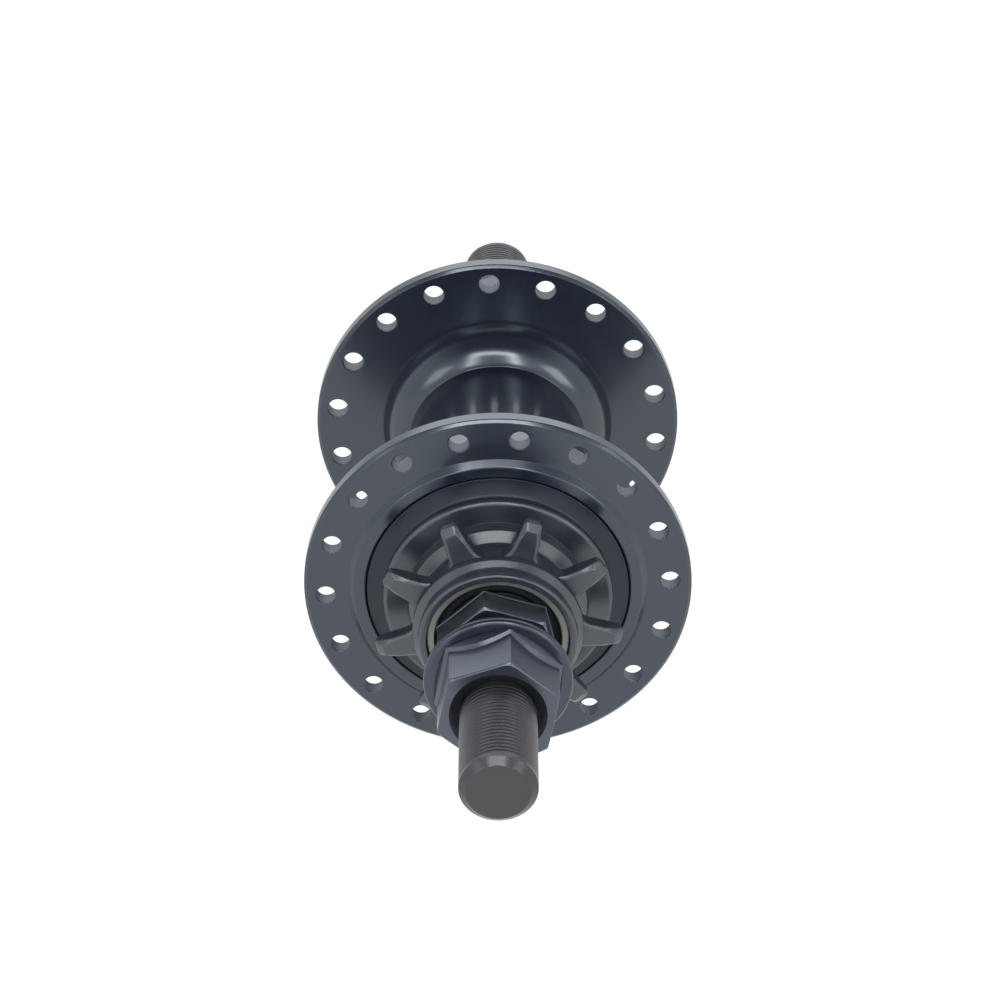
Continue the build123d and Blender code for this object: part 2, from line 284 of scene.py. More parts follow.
SEAL_RUBBER = Finish("rubber_seal", "seal_rubber", (0.015, 0.018, 0.028), 0.0, 0.7, grain=Grain.CAST,
                     specular=0.15, light_marks=(0.025, 0.027, 0.035))


@dataclass(frozen=True)
class Corner:
    """A corner of an outline, which is listed as a row with these values in this order.

    Attributes:
        radius: distance from the axle's axis, one number, or one for each column of a surface.
        station: place along the axle, one number, or one for each column.
        rounding: radius of the rounded corner.
        steps: faces across the rounding.
    """

    radius: float | Array
    station: float | Array
    rounding: float = 0.0
    steps: int = 4


@dataclass
class Surface:
    """A mesh as arrays.

    Attributes:
        points: vertices, (n, 3), in millimetres.
        quads: vertex numbers of the faces, (m, 4).
    """

    points: Array
    quads: Array

    @staticmethod
    def joined(parts: list["Surface"]) -> "Surface":
        """Put several surfaces in one, each with its own vertices."""
        starts = np.cumsum([0] + [len(part.points) for part in parts[:-1]])
        quads = [part.quads + start for part, start in zip(parts, starts)]
        return Surface(np.concatenate([part.points for part in parts]), np.concatenate(quads))

    def welded(self) -> "Surface":
        """Merge vertices closer than a thousandth of a millimetre and turn the faces outwards.

        Returns:
            The surface with shared vertices. Faces point outwards if it is closed: its signed volume, the
            sum of a dot (b x c) over the triangles, is made positive.
        """
        grid = np.round(self.points * 1000).astype(np.int64)
        _, first, where = np.unique(grid, axis=0, return_index=True, return_inverse=True)
        points, quads = self.points[first], where.reshape(-1)[self.quads]
        a, b, c, d = (points[quads[:, k]] for k in range(4))
        volume = np.einsum("ij,ij->", a, np.cross(b, c)) + np.einsum("ij,ij->", a, np.cross(c, d))
        return Surface(points, quads if volume > 0 else quads[:, ::-1])

    def normals(self) -> Array:
        """Give a normal at each vertex: the sum of its faces' normals, each as long as its face is large."""
        a, b, c, d = (self.points[self.quads[:, k]] for k in range(4))
        across = np.cross(c - a, d - b)
        total = np.zeros_like(self.points)
        for k in range(4):
            np.add.at(total, self.quads[:, k], across)
        return total / np.maximum(np.linalg.norm(total, axis=1, keepdims=True), 1e-12)

    def mesh(self, name: str) -> bpy.types.Mesh:
        """Make the Blender mesh.

        Args:
            name: mesh name.

        Returns:
            The mesh, in metres. A face whose neighbouring corners coincide becomes a triangle, and one with
            fewer than three corners left is dropped. Its normals weigh large faces more, so that flat faces
            stay flat and only the rounded corners turn.
        """
        whole = self.welded()
        apart = whole.quads != np.roll(whole.quads, -1, axis=1)
        used = apart.sum(axis=1)
        keep = used >= 3
        corners = whole.quads[keep][apart[keep]]
        sizes = used[keep]
        mesh = bpy.data.meshes.new(name)
        mesh.vertices.add(len(whole.points))
        mesh.vertices.foreach_set("co", (whole.points * MM).astype(np.float32).ravel())
        mesh.loops.add(len(corners))
        mesh.loops.foreach_set("vertex_index", corners.astype(np.int32))
        mesh.polygons.add(len(sizes))
        mesh.polygons.foreach_set("loop_start", (np.cumsum(sizes) - sizes).astype(np.int32))
        mesh.update(calc_edges=True)
        mesh.validate()
        mesh.polygons.foreach_set("use_smooth", np.ones(len(mesh.polygons), dtype=bool))
        mesh.normals_split_custom_set_from_vertices(whole.normals())
        return mesh


def rounded(rows: Outline, columns: int, closed: bool = True) -> tuple[Array, Array]:
    """Round an outline's corners, in each column of a surface at once.

    At a corner with half opening angle h the arc of radius r touches both edges r / tan(h) away, and its
    centre lies r / sin(h) out along the bisector. The arc's points turn evenly from one touching point to
    the other. Where the two arcs of an edge don't fit on it, both shrink alike.

    Args:
        rows: values of the outline's corners, in order.
        columns: number of columns.
        closed: whether the last corner joins the first. If not, the two end corners stay sharp.

    Returns:
        Radii and stations, (rows, columns).
    """
    corners = [Corner(*row) for row in rows]
    radius = np.array([np.broadcast_to(corner.radius, columns) for corner in corners], float)
    station = np.array([np.broadcast_to(corner.station, columns) for corner in corners], float)
    place = np.stack([radius, station], axis=-1)
    back = np.roll(place, 1, axis=0) - place
    ahead = np.roll(place, -1, axis=0) - place
    back_length = np.maximum(np.linalg.norm(back, axis=-1), 1e-9)
    ahead_length = np.maximum(np.linalg.norm(ahead, axis=-1), 1e-9)
    back /= back_length[..., None]
    ahead /= ahead_length[..., None]
    half = np.arccos(np.clip((back * ahead).sum(-1), -0.99999, 0.99999)) / 2
    wanted = np.array([corner.rounding for corner in corners])[:, None] / np.tan(half)
    if not closed:
        wanted[[0, -1]] = 0
    room = np.minimum(1, 0.96 * ahead_length / np.maximum(wanted + np.roll(wanted, -1, axis=0), 1e-9))
    reach = wanted * np.minimum(room, np.roll(room, 1, axis=0))
    bend = reach * np.tan(half)
    middle = back + ahead
    middle /= np.maximum(np.linalg.norm(middle, axis=-1, keepdims=True), 1e-9)
    centre = place + middle * (bend / np.sin(half))[..., None]
    start = place + back * reach[..., None] - centre
    end = place + ahead * reach[..., None] - centre
    turn = np.maximum(math.pi - 2 * half, 1e-4)
    line = []
    for number, corner in enumerate(corners):
        at_end = not closed and number in (0, len(corners) - 1)
        if corner.rounding <= 0 or at_end:
            line.append(place[number][None])
            continue
        share = np.linspace(0, 1, corner.steps + 1)[:, None, None]
        angle = turn[number][None, :, None]
        arc = np.sin((1 - share) * angle) * start[number] + np.sin(share * angle) * end[number]
        line.append(centre[number] + arc / np.sin(angle))
    line = np.concatenate(line)
    return line[..., 0], line[..., 1]


def strips(below: Array, above: Array) -> Array:
    """Give the faces between rows of vertex numbers, which close on themselves along the last axis."""
    faces = np.stack([below, np.roll(below, -1, axis=-1), np.roll(above, -1, axis=-1), above], -1)
    return faces.reshape(-1, 4)


def spun(x: Array, z: Array, turn: Array) -> Array:
    """Turn points of the (x, z) plane about the axle."""
    return np.stack([x * np.cos(turn) - z * np.sin(turn), x * np.sin(turn) + z * np.cos(turn)], -1)


def wrapped(radius: Array, station: Array, angle: Array, closed: bool = True) -> Surface:
    """Carry an outline round the axle: a point is (radius cos(angle), station, radius sin(angle)).

    Args:
        radius: radii, (rows, columns).
        station: stations, (rows, columns).
        angle: angle of each column about the axle, in radians, or of each point.
        closed: whether the last row joins the first.

    Returns:
        The surface.
    """
    points = np.stack([radius * np.cos(angle), station, radius * np.sin(angle)], axis=-1).reshape(-1, 3)
    number = np.arange(radius.size).reshape(radius.shape)
    below = number if closed else number[:-1]
    above = np.roll(number, -1, axis=0) if closed else number[1:]
    return Surface(points, strips(below, above))


def even_angles(count: int, start: float = 0.0) -> Array:
    """Give a number of evenly spaced angles from a start in degrees, in radians."""
    return math.radians(start) + np.arange(count) * FULL_TURN / count


def turned(rows: Outline, segments: int = 144) -> Surface:
    """Turn a closed outline about the axle.

    Args:
        rows: values of the outline's corners, in order.
        segments: faces round the axle.

    Returns:
        The surface.
    """
    radius, station = rounded(rows, segments)
    return wrapped(radius, station, even_angles(segments))


def place_piece(surface: Surface, name: str, finish: Finish, body: Body, *nodes: str) -> bpy.types.Object:
    """Put a finished surface in the scene.

    Args:
        surface: the surface.
        name: piece name.
        finish: its finish.
        body: body that it rides on.
        *nodes: nodes of the construction that it stands for.

    Returns:
        The object.
    """
    piece = bpy.data.objects.new(name, surface.mesh(name))
    bpy.context.scene.collection.objects.link(piece)
    piece.data.materials.append(finish.material())
    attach(piece, body.value)
    if nodes:
        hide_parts(*nodes)
    LOG.info("%s: %d faces", name, len(piece.data.polygons))
    return piece


def node_span(node: str) -> Triple:
    """Give a node's outer radius and its lowest and highest station, in millimetres."""
    low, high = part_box(node)
    return max(high.x, high.z) / MM, low.y / MM, high.y / MM


@dataclass
class HubShell:
    """Shell: two drilled flanges on a waisted barrel, with the well for the ratchet on the drive side.

    Attributes:
        rim_slant: depth of the rims' front bevel, as a share of its width.
        plate_inner, plate_outer: radii between which a flange is made of cells round its holes.
        wall_margin: how far past a hole's radius a face still counts as its wall.
    """

    flange_radius: float = 36.0
    flange_station: float = 29.7
    flange_thickness: float = 3.0
    rim_bevel: float = 0.6
    rim_slant: float = 0.86
    rim_back_rounding: float = 0.35
    holes: int = 18
    hole_circle: float = 32.0
    drive_hole_radius: float = 1.8
    left_hole_radius: float = 1.96
    hole_edge: float = 0.18
    first_hole: float = 2.9
    plate_inner: float = 29.45
    plate_outer: float = 34.75
    lip_station: float = -32.3
    lip_inner: float = 24.4
    lip_bevel: float = 26.71
    lip_outer: float = 27.8
    tight: float = 0.04
    ratchet_housing: float = 27.0
    ratchet_shoulder: float = -18.4
    waist_station: float = -12.0
    barrel_radius: float = 17.6
    shoulder_arc: float = 7.9
    shoulder_foot_slope: float = 20.0
    shoulder_top_slope: float = 88.0
    shoulder_rows: int = 24
    left_housing: float = 22.8
    boss_radius: float = 19.0
    boss_station: float = 33.2
    bearing_radius: float = 14.0
    bore_radius: float = 13.2
    well_floor: float = -20.5
    drive_seat_end: float = -12.5
    left_seat_start: float = 25.0
    wall_margin: float = 0.01
    arc_cells: int = 14
    side_cells: int = 10

    def angles(self) -> Array:
        """Give the columns' angles, on which the cells round the holes start and end."""
        start = self.first_hole - 180 / self.holes
        return even_angles(self.holes * self.arc_cells, start)

    def strip(self, rows: Outline) -> Surface:
        """Turn an open stretch of the shell's outline, on the shell's own columns."""
        angles = self.angles()
        radius, station = rounded(rows, len(angles), closed=False)
        return wrapped(radius, station, angles, closed=False)

    def faces(self, station: float) -> tuple[float, float]:
        """Give the stations of a flange's two faces, the one towards the drive side first."""
        return station - self.flange_thickness / 2, station + self.flange_thickness / 2

    def rim(self, station: float) -> Surface:
        """Turn a flange's rim, from one face round to the other."""
        front, back = self.faces(station)
        return self.strip([
            (self.plate_outer, front), (self.flange_radius - self.rim_bevel, front, 0.2, 3),
            (self.flange_radius, front + self.rim_slant * self.rim_bevel, 0.3, 4),
            (self.flange_radius, back, self.rim_back_rounding, 5), (self.plate_outer, back),
        ])

    def drilled_plate(self, station: float, first_hole: float, hole_radius: float) -> Surface:
        """Make the ring of a flange that holds the spoke holes.

        The ring is cut in equal cells, one to a hole. Seen from the hole's centre a cell's border is a closed
        line: an arc, a spoke, an arc, a spoke. The rows of a cell go from that border over the front face to
        the hole's rounded edge, down the hole and out again to the border on the back face. Each row's point
        lies towards its own border point, so that neighbours share their borders.

        Args:
            station: middle of the flange.
            first_hole: angle of the first hole, in degrees.
            hole_radius: radius of the holes.

        Returns:
            The surface.
        """
        half = math.pi / self.holes
        arc = np.linspace(-half, half, self.arc_cells + 1)
        side = np.linspace(self.plate_inner, self.plate_outer, self.side_cells + 1)
        border_angle = np.concatenate([
            arc[:-1], np.full(self.side_cells, half), arc[:0:-1], np.full(self.side_cells, -half)])
        border_radius = np.concatenate([
            np.full(self.arc_cells, self.plate_outer), side[:0:-1],
            np.full(self.arc_cells, self.plate_inner), side[:-1]])
        border = np.stack([border_radius * np.cos(border_angle), border_radius * np.sin(border_angle)], -1)
        outward = border - np.array([self.hole_circle, 0.0])
        outward /= np.linalg.norm(outward, axis=1, keepdims=True)
        front, back = self.faces(station)
        reach, height = rounded([
            (hole_radius + 2 * self.hole_edge, front), (hole_radius, front, self.hole_edge, 4),
            (hole_radius, back, self.hole_edge, 4), (hole_radius + 2 * self.hole_edge, back),
        ], 1, closed=False)
        rows = np.array([self.hole_circle, 0.0]) + reach[:, :, None] * outward[None]
        flat = np.concatenate([border[None], rows, border[None]])
        heights = np.concatenate([[[front]], height, [[back]]])
        place = spun(*flat.transpose(2, 0, 1), even_angles(self.holes, first_hole)[:, None, None])
        station_grid = np.broadcast_to(heights, place.shape[:-1])
        points = np.stack([place[..., 0], station_grid, place[..., 1]], -1).reshape(-1, 3)
        number = np.arange(len(points)).reshape(station_grid.shape)
        return Surface(points, strips(number[:, 1:], number[:, :-1]))

    def shoulder(self, end: float) -> Outline:
        """Give the corners of the wide arc between the barrel and the left bearing housing.

        A point of the arc lies at radius top - r (1 - sin a) and station end - r cos a, where a is its slope,
        from the foot's up to nearly a right angle at the housing, and r the arc's radius.

        Args:
            end: station at which the arc has become level.

        Returns:
            Corners, with the foot on the barrel first.
        """
        slope = np.radians(np.linspace(self.shoulder_foot_slope, self.shoulder_top_slope, self.shoulder_rows))
        radius = self.left_housing - self.shoulder_arc * (1 - np.sin(slope))
        station = end - self.shoulder_arc * np.cos(slope)
        foot = (self.barrel_radius, float(station[0]), 0.25, 4)
        return [foot, *((float(r), float(y)) for r, y in zip(radius[1:], station[1:]))]

    def outside(self) -> Surface:
        """Turn the stretch between the flanges: ratchet housing, waist, barrel and left bearing housing."""
        drive_back, left_front = self.faces(-self.flange_station)[1], self.faces(self.flange_station)[0]
        return self.strip([
            (self.plate_inner, drive_back), (self.ratchet_housing, drive_back, 0.4, 4),
            (self.ratchet_housing, self.ratchet_shoulder, 2.4, 8),
            (self.barrel_radius, self.waist_station, 3.0, 8),
            *self.shoulder(left_front),
            (self.left_housing, left_front - self.tight), (self.left_housing, left_front),
            (self.plate_inner, left_front),
        ])

    def inside(self) -> Surface:
        """Turn the rest: left boss, bearing seats, bore, ratchet well and the lip round it."""
        drive_front, left_back = self.faces(-self.flange_station)[0], self.faces(self.flange_station)[1]
        return self.strip([
            (self.plate_inner, left_back), (self.boss_radius, left_back, 0.6),
            (self.boss_radius, self.boss_station, 0.4), (self.bearing_radius, self.boss_station, 0.2),
            (self.bearing_radius, self.left_seat_start), (self.bore_radius, self.left_seat_start),
            (self.bore_radius, self.drive_seat_end), (self.bearing_radius, self.drive_seat_end),
            (self.bearing_radius, self.well_floor, 0.2), (self.lip_inner, self.well_floor, 0.4),
            (self.lip_inner, self.lip_station, 0.5, 5), (self.lip_bevel, self.lip_station, 0.45, 4),
            (self.lip_outer, drive_front - self.tight), (self.lip_outer + self.tight, drive_front),
            (self.plate_inner, drive_front),
        ])

    def build(self) -> None:
        """Make the shell and put it in place."""
        half_pitch = 180 / self.holes
        surface = Surface.joined([
            self.outside(),
            self.inside(),
            self.rim(-self.flange_station),
            self.rim(self.flange_station),
            self.drilled_plate(-self.flange_station, self.first_hole, self.drive_hole_radius),
            self.drilled_plate(self.flange_station, self.first_hole + half_pitch, self.left_hole_radius),
        ])
        shell = place_piece(surface, "shell_skin", SHELL_BLACK, Body.HUB, "hub_shell")
        self.dress_holes(shell)

    def dress_holes(self, shell: bpy.types.Object) -> None:
        """Give the walls of the spoke holes the duller finish that the drill leaves.

        A face belongs to a wall if its middle is nearer to a hole's axis than the hole's rounded edge, which
        is found by folding its angle about the axle into one pitch of the holes.

        Args:
            shell: the shell's object.
        """
        shell.data.materials.append(HOLE_WALL.material())
        middle = np.empty(3 * len(shell.data.polygons))
        shell.data.polygons.foreach_get("center", middle)
        x, station, z = middle.reshape(-1, 3).T / MM
        pitch = FULL_TURN / self.holes
        first = math.radians(self.first_hole) + np.where(station > 0, pitch / 2, 0)
        folded = (np.arctan2(z, x) - first + pitch / 2) % pitch - pitch / 2
        radius = np.hypot(x, z)
        away = np.hypot(radius * np.cos(folded) - self.hole_circle, radius * np.sin(folded))
        wall = np.where(station > 0, self.left_hole_radius, self.drive_hole_radius) + self.wall_margin
        shell.data.polygons.foreach_set("material_index", (away < wall).astype(np.int32))


@dataclass
class Driver:
    """Driver: collar, chain cog, neck, dust flange and pawl carrier, in one piece.

    Attributes:
        bevel_from: reach of the cog's outline from which its bevels grow towards the tips.
        bevel_share: greatest width of a bevel, as a share of the outline's height above the neck.
        front_bevel: width of the front bevel, its gain up to the tips, and the same two of its depth.
        back_bevel: the same for the back.
        flank_bevel: how far the front edge of a flank is moved aside.
        flank_behind: distance from the cog's back up to which the flanks are bevelled.
        flank_above: height above the neck from which they are.
        tight: distance of a row that keeps a sharp hollow corner from being shaded round.
        pocket_lead: angle in radians by which a pawl's pocket starts before its pivot.
    """

    teeth: int = 9
    chain_pitch: float = 12.7
    seat_radius: float = 3.95
    seat_spread: float = 62.0
    tip_radius: float = 22.9
    tip_rounding: float = 0.95
    edge_rounding: float = 0.6
    first_gap: float = 13.5
    cog_front: float = -44.6
    cog_back: float = -41.7
    face: float = -49.4
    foot_start: float = -47.0
    foot_end: float = -45.9
    foot_radius: float = 15.6
    foot_back: float = -44.66
    neck_radius: float = 14.5
    collar_radius: float = 14.5
    bevel_from: float = 19.6
    bevel_share: float = 0.7
    front_bevel: tuple[float, float, float, float] = (0.4, 1.0, 0.35, 0.9)
    back_bevel: tuple[float, float, float, float] = (0.3, 0.5, 0.16, 0.2)
    flank_bevel: float = 0.5
    flank_behind: float = 0.9
    flank_above: float = 0.06
    tight: float = 0.04
    flare_start: float = -38.9
    flare_end: float = -37.2
    flare_radius: float = 16.4
    flare_foot: float = 16.9
    flange_front: float = -35.4
    flange_step: float = -33.8
    flange_back: float = -31.0
    flange_radius: float = 21.3
    skirt_radius: float = 21.0
    dust_radius: float = 24.28
    dust_station: float = -32.2
    skirt_inner: float = 20.4
    carrier_radius: float = 18.6
    carrier_end: float = -21.5
    pawl_start: float = -28.3
    pawl_turn: float = 62.2
    pocket_floor: float = 14.3
    pocket_reach: float = 10.9
    pocket_lead: float = 0.12
    bearing_radius: float = 13.0
    inner_bearing_radius: float = 12.0
    bore_radius: float = 11.0
    sleeve_start: float = -40.1
    sleeve_end: float = -26.5

    def tooth_line(self) -> Array:
        """Work out the cog's outline as (x, z) points, evenly dense along it.

        Half a gap goes along the roller's seat, an arc about a point of the pitch circle, then straight on
        along the tooth's flank up to the tip circle, with a rounded corner, and along the tip to the middle
        of the tooth. The other half is its mirror image, and the whole is repeated for each tooth.

        Returns:
            Points, (n, 2), counter-clockwise seen from the drive side.
        """
        pitch_radius = self.chain_pitch / (2 * math.sin(math.pi / self.teeth))
        half_pitch = math.pi / self.teeth
        slope = math.radians(90 - self.seat_spread)
        arc = np.linspace(math.pi, math.pi - math.radians(self.seat_spread), 11)
        seat = np.stack([pitch_radius + self.seat_radius * np.cos(arc), self.seat_radius * np.sin(arc)], -1)
        lever = seat[-1, 0] * math.sin(slope) - seat[-1, 1] * math.cos(slope)
        corner_angle = slope - math.asin(lever / self.tip_radius)
        corner = self.tip_radius * np.array([math.cos(corner_angle), math.sin(corner_angle)])
        middle = self.tip_radius * np.array([math.cos(half_pitch), math.sin(half_pitch)])
        x, z = rounded([(*seat[-1],), (*corner, self.tip_rounding, 6), (*middle,)],
                       1, closed=False)
        flank = np.linspace(seat[-1], np.array([x[1, 0], z[1, 0]]), 7)[1:-1]
        half = np.concatenate([seat, flank, np.concatenate([x, z], axis=1)[1:]])
        gap = np.concatenate([half[:0:-1] * [1, -1], half[:-1]])
        return spun(*gap.T, even_angles(self.teeth, self.first_gap)[:, None]).reshape(-1, 2)

    @staticmethod
    def flank_facing(line: Array) -> Array:
        """Tell how far the cog's outline faces along the turn at each point, from -1 to 1.

        It is the share of the outline's outward normal, the tangent turned by a right angle, that points
        along increasing angle. By it the front edge of the flanks is moved aside, which bevels them.

        Args:
            line: the outline's (x, z) points.

        Returns:
            The shares, one for each point.
        """
        along = np.roll(line, -1, axis=0) - np.roll(line, 1, axis=0)
        normal = np.stack([along[:, 1], -along[:, 0]], -1) / np.linalg.norm(along, axis=1, keepdims=True)
        reach = np.hypot(line[:, 0], line[:, 1])
        return (normal[:, 1] * line[:, 0] - normal[:, 0] * line[:, 1]) / reach

    def carrier_line(self, angle: Array) -> Array:
        """Give the pawl carrier's radius at each angle.

        Args:
            angle: angles about the axle, in radians.

        Returns:
            Radii: the carrier's own, and within a pocket the distance to its flat floor, which runs square
            to the line through the pawl's pivot.
        """
        third = FULL_TURN / 3
        past = (math.radians(self.pawl_turn) - angle + self.pocket_lead) % third - self.pocket_lead
        floor = self.pocket_floor / np.cos(past)
        end = math.atan2(self.pocket_reach, self.pocket_floor)
        return np.where(past < end, np.minimum(floor, self.carrier_radius), self.carrier_radius)

    def bevel(self, reach: Array, width: float, gain: float, depth: float,
              deepening: float) -> tuple[Array, Array]:
        """Give the width and depth of the cog's bevel, which grow evenly with the reach up to the tips.

        Args:
            reach: distances of the cog's outline from the axis.
            width: width near the gaps.
            gain: what the width gains up to the tips.
            depth: depth near the gaps.
            deepening: what the depth gains up to the tips.

        Returns:
            Widths and depths, one of each for each point.
        """
        tip = np.clip((reach - self.bevel_from) / (self.tip_radius - self.bevel_from), 0, 1)
        most = self.bevel_share * (reach - self.neck_radius)
        return np.minimum(width + gain * tip, most), depth + deepening * tip

    def build(self) -> None:
        """Make the driver and put it in place."""
        line = self.tooth_line()
        angle = np.arctan2(line[:, 1], line[:, 0])
        reach = np.hypot(line[:, 0], line[:, 1])
        edge, thin = self.bevel(reach, *self.front_bevel)
        back_edge, back_thin = self.bevel(reach, *self.back_bevel)
        carrier = self.carrier_line(angle)
        corners = [
            (self.bearing_radius, self.face, 0.15, 2), (self.collar_radius, self.face, 0.6, 5),
            (self.collar_radius, self.foot_start, 0.6, 4), (self.foot_radius, self.foot_end, 0.35, 3),
            (self.foot_radius, self.foot_back, 0.1, 2), (self.neck_radius, self.foot_back),
            (self.neck_radius, self.cog_front, 0.05, 2),
            (reach - edge, self.cog_front, self.edge_rounding, 4),
            (reach, self.cog_front + thin, self.edge_rounding, 4),
            (reach, self.cog_back - back_thin, self.edge_rounding, 4),
            (reach - back_edge, self.cog_back, self.edge_rounding, 4),
            (self.neck_radius, self.cog_back, 0.05, 2), (self.neck_radius, self.flare_start, 0.8, 5),
            (self.flare_radius, self.flare_end, 0.5, 4), (self.flare_foot, self.flange_front - self.tight),
            (self.flare_foot + self.tight, self.flange_front),
            (self.flange_radius, self.flange_front, 0.9, 7), (self.flange_radius, self.flange_step, 0.2, 2),
            (self.skirt_inner, self.flange_step), (self.skirt_inner, self.flange_back),
            (self.carrier_radius, self.flange_back, 0.2, 2), (self.carrier_radius, self.pawl_start),
            (carrier, self.pawl_start), (carrier, self.carrier_end, 0.2, 2),
            (self.inner_bearing_radius, self.carrier_end, 0.2, 2),
            (self.inner_bearing_radius, self.sleeve_end), (self.bore_radius, self.sleeve_end),
            (self.bore_radius, self.sleeve_start), (self.bearing_radius, self.sleeve_start),
        ]
        radius, station = rounded(corners, len(angle))
        inset = (reach - radius) / np.maximum(edge, 0.01)
        in_front = station < self.cog_back - self.flank_behind
        on_cog = in_front & (radius > self.neck_radius + self.flank_above)
        aside = self.flank_bevel * np.clip(inset, 0, 1) * on_cog / radius
        surface = wrapped(radius, station, angle - aside * self.flank_facing(line))
        place_piece(surface, "driver_skin", DRIVER_BLACK, Body.DRIVER, "driver_body")
        self.dust_ring()

    def dust_ring(self) -> None:
        """Make the dark dust ring that is pressed on behind the dust flange and runs inside the well."""
        surface = turned([
            (self.skirt_inner, self.flange_step), (self.skirt_radius, self.flange_step),
            (self.skirt_radius, self.dust_station), (self.dust_radius, self.dust_station, 0.15, 2),
            (self.dust_radius, self.flange_back), (self.skirt_inner, self.flange_back),
        ])
        place_piece(surface, "driver_dust_ring", DUST_BLACK, Body.DRIVER, "driver_body")


@dataclass
class HexNut:
    """Hexagon nut with both faces' corners turned off and a countersunk thread.

    Attributes:
        turn: angle of a corner, in degrees.
        mouth_radius, mouth_depth: size of the countersink in the outer face.
        bevel_radius: radius at which the bevel of the outer face starts.
        flare: height and width of the slope round the foot of the flats.
        sag: how much further from the back that slope starts in the middle of a flat than at a corner.
        foot: height of the foot below that slope, at a corner.
        foot_lean: width of the foot as a share of its height.
        face_edge: least distance of the outer face's edge from the flats.
    """

    side: Side
    node: str
    turn: float
    mouth_radius: float
    mouth_depth: float
    bevel_radius: float
    flare: float
    sag: float
    across_flats: float = 20.0
    thread_radius: float = 6.7
    corner_rounding: float = 0.35
    bevel_slope: float = 42.0
    edge_rounding: float = 0.45
    foot: float = 0.15
    foot_lean: float = 0.4
    face_edge: float = 0.35
    flat_cells: int = 12

    def hexagon(self) -> tuple[Array, Array]:
        """Work out the outline of the flats, with a small rounding on each corner.

        A flat lies at across_flats / 2 from the axis, so at an angle a from its middle the outline is
        across_flats / 2 / cos(a) away. Near a corner a round arc takes over.

        Returns:
            Angles in radians and radii of the columns.
        """
        apothem = self.across_flats / 2
        corner = apothem / math.cos(math.pi / 6)
        turn = even_angles(6, self.turn)
        x, z = rounded([(corner * math.cos(a), corner * math.sin(a), self.corner_rounding, 4)
                        for a in turn], 1)
        points = np.concatenate([x, z], axis=1)
        arcs = points.reshape(6, -1, 2)
        share = np.linspace(0, 1, self.flat_cells + 1)[None, 1:-1, None]
        flats = arcs[:, -1:] * (1 - share) + np.roll(arcs, -1, axis=0)[:, :1] * share
        line = np.concatenate([arcs, flats], axis=1).reshape(-1, 2)
        return np.arctan2(line[:, 1], line[:, 0]), np.hypot(line[:, 0], line[:, 1])

    def build(self) -> None:
        """Make the nut and put it in place."""
        _, low, high = node_span(self.node)
        outward = self.side.value
        face, back = (low, high) if self.side is Side.DRIVE else (high, low)
        angle, reach = self.hexagon()
        slope = math.tan(math.radians(self.bevel_slope)) * outward
        drop = np.maximum(reach - self.bevel_radius, 0) * slope
        corner = self.across_flats / 2 / math.cos(math.pi / 6)
        flat_share = (corner - reach) / (corner - self.across_flats / 2)
        rise = self.foot + self.sag * flat_share
        corners = [
            (self.thread_radius, face - outward * self.mouth_depth, 0.05, 1),
            (self.mouth_radius, face, 0.12, 2),
            (np.minimum(reach - self.face_edge, self.bevel_radius), face, 0.2, 3),
            (reach, face - drop, self.edge_rounding, 5),
            (reach, back + outward * (rise + self.flare), 0.3, 3),
            (reach + self.flare, back + outward * rise, 0.3, 3),
            (reach + self.flare + self.foot_lean * rise, back, 0.1, 2), (self.thread_radius, back),
        ]
        radius, station = rounded(corners, len(angle))
        surface = wrapped(radius, station, angle)
        place_piece(surface, f"{self.node}_skin", NUT_BLACK, Body.AXLE, self.node)


